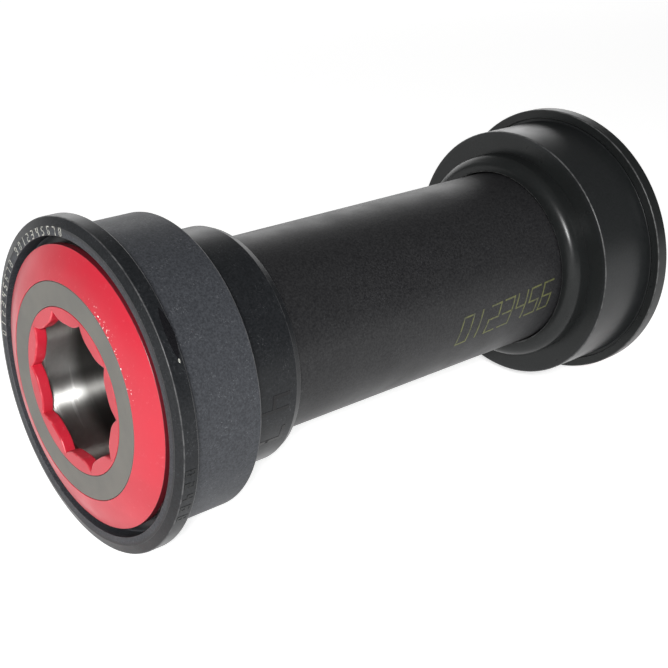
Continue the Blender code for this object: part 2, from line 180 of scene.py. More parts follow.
def rounded(outline):
    """Round the corners (radius, height, fillet) of a closed outline that runs down its outer side.

    Gives points (radius, height, edge), where edge is 1 on the crown of an outward corner.
    """
    points = []
    for index, (radius, height, fillet) in enumerate(outline):
        here = Vector((radius, height))
        before = Vector(outline[index - 1][:2]) - here
        after = Vector(outline[(index + 1) % len(outline)][:2]) - here
        if fillet == 0.0:
            points.append((radius, height, 0.0))
            continue
        half = before.angle(after) / 2
        reach = min(fillet / math.tan(half), 0.45 * before.length, 0.45 * after.length)
        size = reach * math.tan(half)
        outward = before.x * after.y - before.y * after.x > 0.0
        before_way = before.normalized()
        after_way = after.normalized()
        start = here + before_way * reach
        end = here + after_way * reach
        centre = here + (before_way + after_way).normalized() * (size / math.sin(half))
        first = math.atan2(start.y - centre.y, start.x - centre.x)
        turn = math.atan2(end.y - centre.y, end.x - centre.x) - first
        turn = (turn + math.pi) % (2 * math.pi) - math.pi
        lead = start + before_way * min(SUPPORT, 0.04 * before.length)
        points.append((lead.x, lead.y, 0.0))
        for step in range(FILLET_STEPS + 1):
            share = step / FILLET_STEPS
            angle = first + turn * share
            edge = math.sin(math.pi * share) if outward and size < WORN_FILLET else 0.0
            radius = centre.x + size * math.cos(angle)
            points.append((radius, centre.y + size * math.sin(angle), edge))
        lead = end + after_way * min(SUPPORT, 0.04 * after.length)
        points.append((lead.x, lead.y, 0.0))
    return points


def along(side, radius, height, angle):
    """The place in metres of a radius, height and angle on one side (-1 nds, 1 ds)."""
    x = side * (FACE + height) * MM
    return (x, radius * math.cos(angle) * MM, radius * math.sin(angle) * MM)


def loft(name, rings, edges, body, slot_name, nodes):
    """A closed piece through the rings of points, which ride on a body and stand for CAD nodes."""
    count = len(rings[0])
    verts = [point for ring in rings for point in ring]
    faces = []
    for ring in range(len(rings)):
        after = (ring + 1) % len(rings)
        for spot in range(count):
            beside = (spot + 1) % count
            faces.append((ring * count + spot, ring * count + beside,
                          after * count + beside, after * count + spot))
    mesh = bpy.data.meshes.new(name)
    mesh.from_pydata(verts, [], faces)
    shape = bmesh.new()
    shape.from_mesh(mesh)
    bmesh.ops.recalc_face_normals(shape, faces=shape.faces)
    shape.to_mesh(mesh)
    shape.free()
    edge_values = mesh.attributes.new("edge", "FLOAT", "POINT")
    edge_values.data.foreach_set("value", [edge for edge in edges for _ in range(count)])
    return dress(bpy.data.objects.new(name, mesh), body, slot_name, nodes)


def dress(piece, body, slot_name, nodes=()):
    """Put a piece in the scene on its body, with its finish and the CAD nodes it stands for."""
    bpy.context.scene.collection.objects.link(piece)
    piece.data.shade_smooth()
    piece.data.set_sharp_from_angle(angle=SMOOTH_ANGLE)
    piece.data.materials.append(finishes[slot_name])
    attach(piece, body)
    if nodes:
        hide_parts(*nodes)
    return piece


def lathe(name, side, outline, body, slot_name, nodes):
    """A turned piece with rounded corners."""
    points = rounded(outline)
    angles = [2 * math.pi * index / SEGMENTS for index in range(SEGMENTS)]
    rings = [[along(side, radius, height, angle) for angle in angles]
             for radius, height, _ in points]
    return loft(name, rings, [edge for _, _, edge in points], body, slot_name, nodes)


def arc(centre, radius, start, end, steps):
    """Sharp corners on a circle round a (radius, height) centre."""
    corners = []
    for index in range(steps + 1):
        angle = start + (end - start) * index / steps
        across = radius * math.cos(angle)
        corners.append((centre[0] + across, centre[1] + radius * math.sin(angle), 0.0))
    return corners


# ---------------------------------------------------------------- materials

def add(tree, kind, **settings):
    """A new node, with its properties or the values of its inputs."""
    node = tree.nodes.new(kind)
    for key, value in settings.items():
        if hasattr(node, key):
            setattr(node, key, value)
        else:
            node.inputs[key.replace("_", " ")].default_value = value
    return node


def math_node(tree, operation, first, second=None, clamp=False):
    """The result of an operation on one or two numbers, each a value or a socket."""
    node = tree.nodes.new("ShaderNodeMath")
    node.operation = operation
    node.use_clamp = clamp
    for socket, value in zip(node.inputs, (first, second)):
        if value is None:
            continue
        if isinstance(value, (int, float)):
            socket.default_value = value
        else:
            tree.links.new(value, socket)
    return node.outputs[0]


def between(tree, value, low, high):
    """0 below low, 1 above high and smooth between."""
    node = add(tree, "ShaderNodeMapRange", interpolation_type="SMOOTHSTEP")
    tree.links.new(value, node.inputs["Value"])
    node.inputs["From Min"].default_value = low
    node.inputs["From Max"].default_value = high
    return node.outputs["Result"]


def noise(tree, scale, detail=2.0, roughness=0.5, vector=None):
    """Cloudy noise, in the object's own coordinates unless others are given."""
    node = add(tree, "ShaderNodeTexNoise", Scale=scale, Detail=detail, Roughness=roughness)
    if vector is None:
        vector = place_of(tree)
    tree.links.new(vector, node.inputs["Vector"])
    return node.outputs["Fac"]


def place_of(tree):
    """The object's own coordinates, in metres."""
    node = tree.nodes.get("place") or add(tree, "ShaderNodeTexCoord", name="place")
    return node.outputs["Object"]


def mix(tree, factor, first, second):
    """Blend two colours, each a tuple or a socket."""
    node = tree.nodes.new("ShaderNodeMix")
    node.data_type = "RGBA"
    tree.links.new(factor, node.inputs["Factor"])
    for socket, value in ((node.inputs[6], first), (node.inputs[7], second)):
        if isinstance(value, tuple):
            socket.default_value = (*value, 1.0)
        else:
            tree.links.new(value, socket)
    return node.outputs[2]


def blend_value(tree, factor, first, second):
    """Blend two numbers by a factor from 0 to 1."""
    node = add(tree, "ShaderNodeMapRange")
    tree.links.new(factor, node.inputs["Value"])
    node.inputs["To Min"].default_value = first
    node.inputs["To Max"].default_value = second
    return node.outputs["Result"]


def bump(tree, height, strength, distance):
    """A normal that follows a height, with the distance in metres."""
    node = add(tree, "ShaderNodeBump", Strength=strength, Distance=distance)
    tree.links.new(height, node.inputs["Height"])
    return node.outputs["Normal"]


def round_axis(tree):
    """(radius, angle, x) about the spindle axis, radius and x in metres."""
    split = add(tree, "ShaderNodeSeparateXYZ")
    tree.links.new(place_of(tree), split.inputs[0])
    square = math_node(tree, "ADD",
                       math_node(tree, "MULTIPLY", split.outputs["Y"], split.outputs["Y"]),
                       math_node(tree, "MULTIPLY", split.outputs["Z"], split.outputs["Z"]))
    radius = math_node(tree, "SQRT", square)
    angle = math_node(tree, "ARCTAN2", split.outputs["Z"], split.outputs["Y"])
    return radius, angle, split.outputs["X"]


def turned_grain(tree, across, around):
    """Coordinates that stretch a noise into the fine rings that a lathe leaves."""
    radius, angle, x = round_axis(tree)
    join = add(tree, "ShaderNodeCombineXYZ")
    tree.links.new(math_node(tree, "MULTIPLY", x, across), join.inputs[0])
    tree.links.new(math_node(tree, "MULTIPLY", radius, across), join.inputs[1])
    wave = math_node(tree, "SINE", angle)
    tree.links.new(math_node(tree, "MULTIPLY", wave, around), join.inputs[2])
    return join.outputs[0]


def new_material(name):
    """A material with its node tree and its Principled shader."""
    material = bpy.data.materials.new(name)
    material.use_nodes = True
    tree = material.node_tree
    return material, tree, tree.nodes["Principled BSDF"]


def edge_of(tree):
    """1 on the crown of the piece's outward corners."""
    node = add(tree, "ShaderNodeAttribute", attribute_name="edge")
    return node.outputs["Fac"]


def black_composite(name, dark, light, rough, gloss, grain_depth, speck_share):
    """Glass-filled nylon: satin black with a fine mottled grain, pale dust and rubbed edges.

    The pressed barrel is matter, greyer and more speckled than the flange and the neck.
    """
    material, tree, shader = new_material(name)
    shader.inputs["Specular IOR Level"].default_value = gloss
    radius, _, _ = round_axis(tree)
    barrel = math_node(tree, "MULTIPLY", between(tree, radius, *BARREL_IN),
                       math_node(tree, "SUBTRACT", 1.0, between(tree, radius, *BARREL_OUT)))
    barrel = math_node(tree, "MULTIPLY", barrel, speck_share)
    mottle = between(tree, noise(tree, 3300.0, 4.0, 0.65), 0.30, 0.70)
    clouds = noise(tree, 150.0, 3.0, 0.55)
    dust = between(tree, noise(tree, 4600.0, 3.0, 0.65), 0.56, 0.72)
    patches = between(tree, noise(tree, 420.0, 3.0, 0.65), 0.42, 0.64)
    speckled = math_node(tree, "MULTIPLY", math_node(tree, "MULTIPLY", dust, patches),
                         blend_value(tree, barrel, 0.35 * speck_share, 0.75 * speck_share))
    rubbed = blend_value(tree, between(tree, noise(tree, 900.0, 3.0, 0.7), 0.36, 0.62), 0.35, 1.0)
    worn_edge = math_node(tree, "MULTIPLY", edge_of(tree), rubbed, True)
    colour = mix(tree, mottle, dark, light)
    barrel_colour = mix(tree, mottle, (0.025, 0.027, 0.031), (0.050, 0.053, 0.060))
    colour = mix(tree, barrel, colour, barrel_colour)
    colour = mix(tree, speckled, colour, (0.15, 0.155, 0.165))
    colour = mix(tree, math_node(tree, "MULTIPLY", worn_edge, 0.4), colour, (0.20, 0.20, 0.20))
    tree.links.new(colour, shader.inputs["Base Color"])
    wide = blend_value(tree, between(tree, clouds, 0.3, 0.7), rough - 0.03, rough + 0.05)
    barrel_wide = math_node(tree, "MULTIPLY", barrel, 0.16)
    tree.links.new(math_node(tree, "ADD", wide, barrel_wide), shader.inputs["Roughness"])
    tree.links.new(bump(tree, noise(tree, 3000.0, 3.0, 0.6), 0.3, grain_depth),
                   shader.inputs["Normal"])
    return material


def red_plastic():
    """Half-gloss red moulding, a little dusty, with pale scuffs beside the grey ring.

    Painted shade darkens the wall of the gap round the shield, where little light gets in.
    """
    material, tree, shader = new_material("red_plastic")
    radius, _, _ = round_axis(tree)
    split = add(tree, "ShaderNodeSeparateXYZ")
    tree.links.new(place_of(tree), split.inputs[0])
    clouds = noise(tree, 120.0, 3.0, 0.55)
    dust = between(tree, noise(tree, 1500.0, 4.0, 0.7), 0.58, 0.75)
    zone = math_node(tree, "MULTIPLY", between(tree, radius, *SCUFF_IN),
                     between(tree, math_node(tree, "MULTIPLY", radius, -1.0), *SCUFF_OUT))
    right = between(tree, math_node(tree, "MULTIPLY", split.outputs["Y"], -1.0), *SCUFF_RIGHT)
    upper = between(tree, split.outputs["Z"], *SCUFF_UPPER)
    zone = math_node(tree, "MULTIPLY", zone, upper)
    chips = between(tree, noise(tree, 2800.0, 2.0, 0.6), 0.64, 0.68)
    scuffs = math_node(tree, "MULTIPLY", math_node(tree, "MULTIPLY", zone, right), chips)
    worn = math_node(tree, "MULTIPLY", edge_of(tree), between(tree, noise(tree, 700.0), 0.45, 0.6))
    colour = mix(tree, between(tree, clouds, 0.35, 0.7),
                 (0.50, 0.016, 0.034), (0.455, 0.018, 0.034))
    colour = mix(tree, math_node(tree, "MULTIPLY", dust, 0.10), colour, (0.80, 0.42, 0.42))
    colour = mix(tree, math_node(tree, "MULTIPLY", worn, 0.25), colour, (0.85, 0.25, 0.27))
    colour = mix(tree, scuffs, colour, (0.93, 0.84, 0.82))
    edge = shield_radius * MM
    # Painted shade: the wall of the gap round the shield is darkened, where little light gets in.
    gap_shade = between(tree, radius, edge - GAP_SHADE_LINE[0], edge - GAP_SHADE_LINE[1])
    colour = mix(tree, math_node(tree, "MULTIPLY", gap_shade, 0.85), colour, (0.035, 0.006, 0.009))
    tree.links.new(colour, shader.inputs["Base Color"])
    tree.links.new(blend_value(tree, between(tree, clouds, 0.3, 0.7), 0.30, 0.42),
                   shader.inputs["Roughness"])
    tree.links.new(bump(tree, noise(tree, 2200.0, 3.0, 0.6), 0.15, 0.00002),
                   shader.inputs["Normal"])
    return material


def grey_ring():
    """Flat warm grey washer with a fine blasted texture."""
    material, tree, shader = new_material("grey_ring")
    clouds = noise(tree, 260.0, 3.0, 0.55)
    worn = math_node(tree, "MULTIPLY", edge_of(tree), 0.5)
    colour = mix(tree, between(tree, clouds, 0.35, 0.7),
                 (0.135, 0.130, 0.113), (0.122, 0.119, 0.107))
    colour = mix(tree, math_node(tree, "MULTIPLY", noise(tree, 4200.0, 2.0), 0.18), colour,
                 (0.10, 0.10, 0.09))
    colour = mix(tree, worn, colour, (0.07, 0.065, 0.06))
    tree.links.new(colour, shader.inputs["Base Color"])
    tree.links.new(blend_value(tree, clouds, 0.48, 0.66), shader.inputs["Roughness"])
    tree.links.new(bump(tree, noise(tree, 3600.0, 2.0), 0.2, 0.00002), shader.inputs["Normal"])
    return material


def bearing_steel():
    """Ground steel: bright streaks across the rings of the grinding, and thin pale lines that are
    painted highlights.

    The far end of the bore is darkened with painted shade.
    """
    material, tree, shader = new_material("bearing_steel")
    shader.inputs["Metallic"].default_value = 1.0
    shader.inputs["Anisotropic"].default_value = 0.97
    shader.inputs["Anisotropic Rotation"].default_value = 0.25
    tangent = add(tree, "ShaderNodeTangent", direction_type="RADIAL", axis="X")
    tree.links.new(tangent.outputs[0], shader.inputs["Tangent"])
    rings = noise(tree, 1.0, 4.0, 0.7, turned_grain(tree, 9000.0, 2.5))
    bands = noise(tree, 1.0, 2.0, 0.5, turned_grain(tree, 900.0, 1.0))
    stain = noise(tree, 300.0, 3.0, 0.6)
    colour = mix(tree, between(tree, stain, 0.35, 0.75), (0.62, 0.62, 0.60), (0.48, 0.475, 0.455))
    # Thin pale lines are painted highlights, standing in for a reflection line in the bore.
    painted_highlight_lines = math_node(tree, "MULTIPLY", between(tree, bands, 0.62, 0.66), 0.45)
    colour = mix(tree, painted_highlight_lines, colour, (0.85, 0.85, 0.83))
    # Painted shade: the far end of the bore is darkened, standing in for the dark inside that it
    # reflects.
    _, _, x = round_axis(tree)
    inward = math_node(tree, "MULTIPLY", math_node(tree, "ABSOLUTE", x), -1.0)
    deep_shade = between(tree, inward, *BORE_SHADE)
    colour = mix(tree, math_node(tree, "MULTIPLY", deep_shade, 0.85), colour, (0.07, 0.068, 0.063))
    tree.links.new(colour, shader.inputs["Base Color"])
    tree.links.new(blend_value(tree, bands, 0.32, 0.42), shader.inputs["Roughness"])
    tree.links.new(bump(tree, rings, 0.25, 0.000008), shader.inputs["Normal"])
    return material


def cage_nylon():
    """Natural nylon of the ball cages, smeared with grease."""
    material, tree, shader = new_material("cage_nylon")
    grease = between(tree, noise(tree, 400.0, 3.0, 0.6), 0.45, 0.65)
    tree.links.new(mix(tree, grease, (0.55, 0.50, 0.38), (0.36, 0.28, 0.15)),
                   shader.inputs["Base Color"])
    tree.links.new(blend_value(tree, grease, 0.5, 0.22), shader.inputs["Roughness"])
    tree.links.new(bump(tree, noise(tree, 2400.0), 0.2, 0.00002), shader.inputs["Normal"])
    return material


def black_rubber():
    """Matt seal rubber with dust in its grain."""
    material, tree, shader = new_material("black_rubber")
    dust = between(tree, noise(tree, 900.0, 4.0, 0.7), 0.55, 0.8)
    tree.links.new(mix(tree, dust, (0.014, 0.014, 0.014), (0.05, 0.048, 0.045)),
                   shader.inputs["Base Color"])
    tree.links.new(blend_value(tree, dust, 0.62, 0.85), shader.inputs["Roughness"])
    tree.links.new(bump(tree, noise(tree, 3000.0, 3.0), 0.3, 0.00002), shader.inputs["Normal"])
    return material


def ink(name, colour, faded):
    """Thin printed ink that has worn in patches."""
    material, tree, shader = new_material(name)
    wear = between(tree, noise(tree, 1300.0, 3.0, 0.6), 0.42, 0.66)
    tree.links.new(mix(tree, wear, colour, faded), shader.inputs["Base Color"])
    tree.links.new(blend_value(tree, wear, 0.55, 0.45), shader.inputs["Roughness"])
    return material


def floor_paper():
    """White light table with a faint tooth."""
    material, tree, shader = new_material("floor_paper")
    tooth = noise(tree, 900.0, 3.0, 0.6)
    tree.links.new(mix(tree, tooth, (0.90, 0.90, 0.90), (0.88, 0.88, 0.875)),
                   shader.inputs["Base Color"])
    shader.inputs["Roughness"].default_value = 0.9
    shader.inputs["Specular IOR Level"].default_value = 0.1
    shader.inputs["Emission Color"].default_value = (1.0, 1.0, 1.0, 1.0)
    shader.inputs["Emission Strength"].default_value = 0.55
    return material


finishes = {
    "cup": black_composite("cup_nylon", (0.007, 0.008, 0.009), (0.016, 0.017, 0.019),
                           0.34, 0.20, 0.00002, 1.0),
    "cup_smooth": black_composite("cup_smooth_nylon", (0.009, 0.010, 0.010), (0.013, 0.014, 0.014),
                                  0.30, 0.25, 0.000008, 0.08),
    "gloss": black_composite("gloss_nylon", (0.005, 0.005, 0.006), (0.008, 0.008, 0.009),
                             0.16, 0.25, 0.000002, 0.0),
    "tube": black_composite("tube_nylon", (0.009, 0.009, 0.010), (0.024, 0.024, 0.025),
                            0.42, 0.22, 0.00001, 0.5),
    "red": red_plastic(),
    "grey": grey_ring(),
    "steel": bearing_steel(),
    "cage": cage_nylon(),
    "rubber": black_rubber(),
    "olive_ink": ink("olive_ink", (0.085, 0.090, 0.026), (0.038, 0.041, 0.020)),
    "pale_ink": ink("pale_ink", (0.48, 0.48, 0.43), (0.22, 0.22, 0.20)),
}


# ---------------------------------------------------------------- cups and tube

def cup_front():
    """Down the outside of a cup, from its chamfered face to the end of the barrel."""
    return [
        (flange.radius - FACE_CHAMFER[0], 0.0, 0.12),
        (flange.radius, -FACE_CHAMFER[1], 0.2),
        (flange.radius, -FLANGE_THICKNESS, 0.2),
        (barrel_radius + UNDERCUT[0], -FLANGE_THICKNESS, 0.08),
        (barrel_radius + UNDERCUT[0], -FLANGE_THICKNESS + UNDERCUT[1], 0.1),
        (barrel_radius, -FLANGE_THICKNESS + UNDERCUT[1], 0.1),
    ]


def cup_mouth(seat_end, inner_wall):
    """Up the bearing seat and the mouth of a cup, to its face."""
    return [
        (seat_radius - RETAINING_LIP, -inner_wall, 0.1),
        (seat_radius - RETAINING_LIP, -seat_end, 0.1),
        (seat_radius, -seat_end, 0.1),
        (seat_radius, -MOUTH_DEPTH, 0.1),
        (mouth_radius, -MOUTH_DEPTH, 0.1),
        (mouth_radius, 0.0, 0.08),
    ]


def groove(socket, open_end):
    """The groove of the sealing ring in a tube socket, from its end nearer the tube's middle."""
    return [
        (socket, -open_end, 0.0),
        (O_RING_FLOOR, -open_end, 0.0),
        (O_RING_FLOOR, -open_end + O_RING_WIDTH, 0.0),
        (socket, -open_end + O_RING_WIDTH, 0.0),
    ]


def tube_stop(socket, front, back):
    """The ledge at the bottom of a tube socket."""
    return [(socket, -back, 0.0), (TUBE_STOP, -back, 0.1), (TUBE_STOP, -front, 0.1)]


def nds_cup():
    """Non-drive cup: flange, speckled barrel and a neck that the tube slides into."""
    end = FACE - flange.inboard
    socket = tube.radius + SEAT_GAP
    outline = cup_front() + [
        (barrel_radius, -BARREL_END, 0.35),
        (NECK_RADIUS, -BARREL_END, 0.15),
        (NECK_RADIUS, -end + NECK_CHAMFER[1], 0.15),
        (NECK_RADIUS - NECK_CHAMFER[0], -end, 0.15),
        (socket, -end, 0.12),
    ]
    outline += groove(socket, end - NDS_GROOVE_BACK)
    outline += tube_stop(socket, *NDS_STOP)
    outline += cup_mouth(NDS_SEAT_END, NDS_STOP[0])
    return lathe("nds_cup_shell", -1, outline, "cups_and_tube", "cup", ["nds_cup"])


def ds_cup():
    """Drive cup: smooth barrel and, on its end wall, a tall rounded collar round the tube."""
    end = FACE - Part("ds_cup").inboard
    socket = tube.radius + SEAT_GAP
    crown = (COLLAR_FOOT - COLLAR_ROUND, -end + COLLAR_ROUND)
    outline = cup_front() + [(barrel_radius, -BARREL_END, 0.2)]
    outline.append((COLLAR_FOOT, -BARREL_END + 0.12, 0.0))
    outline += arc(crown, COLLAR_ROUND, 0.0, -math.pi / 2, 16)
    outline.append((socket, -end, 0.4))
    outline += groove(socket, end - DS_GROOVE_BACK)
    outline += tube_stop(socket, *DS_STOP)
    outline += cup_mouth(DS_SEAT_END, DS_STOP[0])
    return lathe("ds_cup_shell", 1, outline, "cups_and_tube", "cup_smooth", ["ds_cup"])


def centre_tube():
    """Plain tube between the cups."""
    low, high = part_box("centre_tube")
    bore = tube.radius - TUBE_WALL
    near = low.x / MM - FACE
    far = high.x / MM - FACE
    outline = [
        (tube.radius, far, 0.3),
        (tube.radius, near, 0.3),
        (bore, near, 0.15),
        (bore, far, 0.15),
    ]
    return lathe("tube_body", 1, outline, "cups_and_tube", "tube", ["centre_tube"])


# ---------------------------------------------------------------- bearings

class Bearing:
    """One sealed ball bearing: the visual pieces that stand for its CAD nodes."""

    def __init__(self, prefix, side, bore, width, ball, count, nose):
        self.prefix = prefix
        self.side = side
        self.bore = bore / 2
        self.half = width / 2
        self.ball = ball / 2
        self.count = count
        self.nose = nose
        self.pitch = (self.bore + race.radius) / 2
        self.groove = self.ball + RACEWAY_GAP
        self.land_in = Part(prefix + "_inner_race").radius
        self.land_out = 2 * self.pitch - self.land_in
        self.middle = -MOUTH_DEPTH - SEAT_GAP - self.half
        self.turning = prefix + "_rotor"

    def at(self, outline):
        """The outline moved from the bearing's middle to its place in the cup."""
        return [(radius, height + self.middle, fillet) for radius, height, fillet in outline]

    def make(self, name, outline, body, slot_name):
        """A turned piece of the bearing, which stands for the CAD node of that name."""
        return lathe(f"{self.prefix}_{name}_fine", self.side, self.at(outline), body, slot_name,
                     [f"{self.prefix}_{name}"])

    def raceway(self, middle):
        """The groove that the balls run in, on the side of them given by an angle."""
        reach = math.acos((self.pitch - self.land_in) / self.groove)
        return arc((self.pitch, 0.0), self.groove, middle - reach, middle + reach, RACEWAY_STEPS)

    def races(self):
        """Both races, each with a round raceway; the outer race has a ledge for each seal."""
        top = self.half + RACE_RISE
        bottom = -self.half - self.nose
        outline = [(self.land_in, top, 0.35)] + self.raceway(math.pi)
        outline += [(self.land_in, bottom + 0.4, 0.15), (self.land_in - 0.8, bottom, 0.15)]
        outline += [(self.bore + 0.45, bottom, 0.1), (self.bore, bottom + 0.45, 0.1)]
        outline += [(self.bore, top - 0.45, 0.06), (self.bore + 0.4, top, 0.06)]
        self.make("inner_race", outline, self.turning, "steel")
        ledge = race.radius - SEAL_LEDGE[0]
        step = self.half - SEAL_LEDGE[1]
        outline = [(race.radius, self.half, 0.3), (race.radius, -self.half, 0.3)]
        outline += [(ledge, -self.half, 0.05), (ledge, -step, 0.0), (self.land_out, -step, 0.05)]
        outline += self.raceway(0.0)
        outline += [(self.land_out, step, 0.05), (ledge, step, 0.0), (ledge, self.half, 0.05)]
        self.make("outer_race", outline, "cups_and_tube", "steel")

    def seals(self):
        """A lipped seal on each side of the balls."""
        outside = race.radius - SEAL_LEDGE[0] - SEAT_GAP
        inside = self.land_in + SEAT_GAP
        top = self.half - SEAL_SINK
        back = top - SEAL_THICKNESS
        outline = [
            (outside, top, 0.15), (outside, back, 0.1), (inside + 0.8, back, 0.1),
            (inside, top - 0.4, 0.08), (inside + 0.8, top, 0.1), (inside + 1.2, top - 0.2, 0.1),
            (outside - 0.5, top - 0.2, 0.1), (outside - 0.3, top, 0.1),
        ]
        self.make("outboard_seal", outline, "cups_and_tube", "rubber")
        mirrored = [(radius, -height, fillet) for radius, height, fillet in reversed(outline)]
        self.make("inboard_seal", mirrored, "cups_and_tube", "rubber")

    def balls(self):
        """Round balls in place of the CAD's coarse ones."""
        for index in range(self.count):
            node = f"{self.prefix}_ball_{index + 1:02d}"
            low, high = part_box(node)
            shape = bmesh.new()
            bmesh.ops.create_icosphere(shape, subdivisions=BALL_FINENESS, radius=self.ball * MM)
            bmesh.ops.translate(shape, verts=shape.verts, vec=(low + high) / 2)
            mesh = bpy.data.meshes.new(node + "_fine")
            shape.to_mesh(mesh)
            shape.free()
            dress(bpy.data.objects.new(mesh.name, mesh), self.prefix + "_ball_set", "steel", [node])

    def cage(self):
        """The CAD's own cage, in its finish."""
        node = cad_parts[self.prefix + "_ball_cage"]
        node.data.materials.clear()
        node.data.materials.append(finishes["cage"])

    def build(self):
        self.races()
        self.seals()
        self.balls()
        self.cage()


def o_ring(prefix, side):
    """Sealing ring between a cup and the tube."""
    low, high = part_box(prefix + "_tube_o_ring")
    middle = (abs(low.x + high.x) / 2) / MM - FACE
    centre = high.z / MM - O_RING_CORD
    outline = arc((centre, middle), O_RING_CORD, 0.0, -2 * math.pi, 24)[:-1]
    node = prefix + "_tube_o_ring"
    lathe(prefix + "_o_ring_fine", side, outline, "cups_and_tube", "rubber", [node])


# ---------------------------------------------------------------- dust shields

def shield_section(ring_inside, ring_outside, skirt_inside):
    """The shield's outline, from the inner rim of the grey ring's groove round to the skirt."""
    front = shield_rise
    floor = front - RING_GROOVE
    edge_top = -EDGE_SINK
    outline = [
        (ring_inside, front, 0.05),
        (ring_inside, floor, 0.0),
        (ring_outside, floor, 0.0),
        (ring_outside, front, 0.06),
    ]
    for step in range(1, CROWN_STEPS):
        share = step / CROWN_STEPS
        radius = ring_outside + (shield_radius - ring_outside) * share
        height = front + (edge_top - front) * share + CROWN * math.sin(math.pi * share)
        outline.append((radius, height, 0.0))
    outline += [
        (shield_radius, edge_top, 0.12),
        (shield_radius, -EDGE_BACK, 0.2),
        (skirt_inside + SKIRT_WALL, -EDGE_BACK, 0.1),
        (skirt_inside + SKIRT_WALL, -SKIRT_BACK, 0.1),
        (skirt_inside, -SKIRT_BACK, 0.1),
        (skirt_inside, -WEB_BACK, 0.1),
    ]
    return outline


def lobe_outline():
    """Points and outward ways round the lobed opening, with blunt lobes and narrow notches."""
    tip = LOBE_ROOT - LOBE_HEIGHT
    count = LOBE_COUNT * LOBE_STEPS
    spots = []
    for index in range(count):
        share = index % LOBE_STEPS / LOBE_STEPS * 2 - 1
        radius = tip + LOBE_HEIGHT * abs(share) ** LOBE_SHARPNESS
        angle = 2 * math.pi * index / count
        spots.append(Vector((radius * math.cos(angle), radius * math.sin(angle))))
    ways = []
    for index in range(count):
        run = spots[(index + 1) % count] - spots[index - 1]
        ways.append(Vector((run.y, -run.x)).normalized())
    return spots, ways


def lobe_wall():
    """Up the wall of the lobed opening, as (inset, height, edge), with a fillet at each end."""
    turns = [math.pi / 2 * step / FILLET_STEPS for step in range(FILLET_STEPS + 1)]
    wall = [(LOBE_FILLET + 0.06, -WEB_BACK, 0.0)]
    for turn in turns:
        inset = LOBE_FILLET * (1 - math.sin(turn))
        wall.append((inset, -WEB_BACK + LOBE_FILLET * (1 - math.cos(turn)), math.sin(2 * turn)))
    wall.append((0.0, -WEB_BACK + LOBE_FILLET + SUPPORT, 0.0))
    wall.append((0.0, shield_rise - LOBE_FILLET - SUPPORT, 0.0))
    for turn in turns:
        inset = LOBE_FILLET * (1 - math.cos(turn))
        wall.append((inset, shield_rise - LOBE_FILLET * (1 - math.sin(turn)), math.sin(2 * turn)))
    wall.append((LOBE_FILLET + 0.05, shield_rise, 0.0))
    return wall


def nds_shield():
    """Red shield with the lobed opening in its hub."""
    grey = Part("nds_shield_ring")
    ring_outside = grey.radius + SEAT_GAP
    section = rounded([(NDS_RING_INSIDE - 0.4, shield_rise, 0.0)]
                      + shield_section(NDS_RING_INSIDE, ring_outside, NDS_SKIRT_INSIDE)
                      + [(NDS_RING_INSIDE + 1.5, -WEB_BACK, 0.0)])
    spots, ways = lobe_outline()
    count = len(spots)
    angles = [2 * math.pi * index / count for index in range(count)]
    rings = [[along(-1, radius, height, angle) for angle in angles]
             for radius, height, _ in section]
    edges = [edge for _, _, edge in section]
    for inset, height, edge in lobe_wall():
        ring = []
        for spot, way in zip(spots, ways):
            point = spot + way * inset
            ring.append((-(FACE + height) * MM, point.x * MM, point.y * MM))
        rings.append(ring)
        edges.append(edge)
    return loft("nds_shield_shell", rings, edges, "nds_rotor", "red", ["nds_dust_shield"])


def ds_shield():
    """Red shield of the drive side, with a round opening for the spindle."""
    grey = Part("ds_shield_ring")
    outline = shield_section(DS_RING_INSIDE, grey.radius + SEAT_GAP, DS_SKIRT_INSIDE)
    outline += [(DS_SHIELD_BORE, -WEB_BACK, 0.2), (DS_SHIELD_BORE, shield_rise, 0.2)]
    return lathe("ds_shield_shell", 1, outline, "ds_rotor", "red", ["ds_dust_shield"])


def face_ring(prefix, side, inside):
    """Flat grey ring, flush in the shield but for a dark line round it."""
    grey = Part(prefix + "_shield_ring")
    outside = grey.radius + SEAT_GAP - RING_SHADOW
    top = shield_rise - RING_SINK
    back = top - RING_THICKNESS
    outline = [
        (outside, top, 0.06),
        (outside, back, 0.0),
        (inside + RING_SHADOW, back, 0.0),
        (inside + RING_SHADOW, top, 0.06),
    ]
    node = prefix + "_shield_ring"
    lathe(prefix + "_face_ring", side, outline, prefix + "_rotor", "grey", [node])


# ---------------------------------------------------------------- plain numbers

# Strokes of a numeral, as corners on a grid 1 wide and 2 high
STROKES = {
    "top": ((0, 2), (1, 2)),
    "middle": ((0, 1), (1, 1)),
    "bottom": ((0, 0), (1, 0)),
    "upper_left": ((0, 1), (0, 2)),
    "lower_left": ((0, 0), (0, 1)),
    "upper_right": ((1, 1), (1, 2)),
    "lower_right": ((1, 0), (1, 1)),
    "stem": ((0.5, 0), (0.5, 2)),
}
NUMERALS = {
    "0": "top bottom upper_left lower_left upper_right lower_right",
    "1": "stem",
    "2": "top upper_right middle lower_left bottom",
    "3": "top upper_right middle lower_right bottom",
    "4": "upper_left middle upper_right lower_right",
    "5": "top upper_left middle lower_right bottom",
    "6": "top upper_left middle lower_left lower_right bottom",
    "7": "top upper_right lower_right",
    "8": "top middle bottom upper_left lower_left upper_right lower_right",
    "9": "top middle bottom upper_left upper_right lower_right",
}


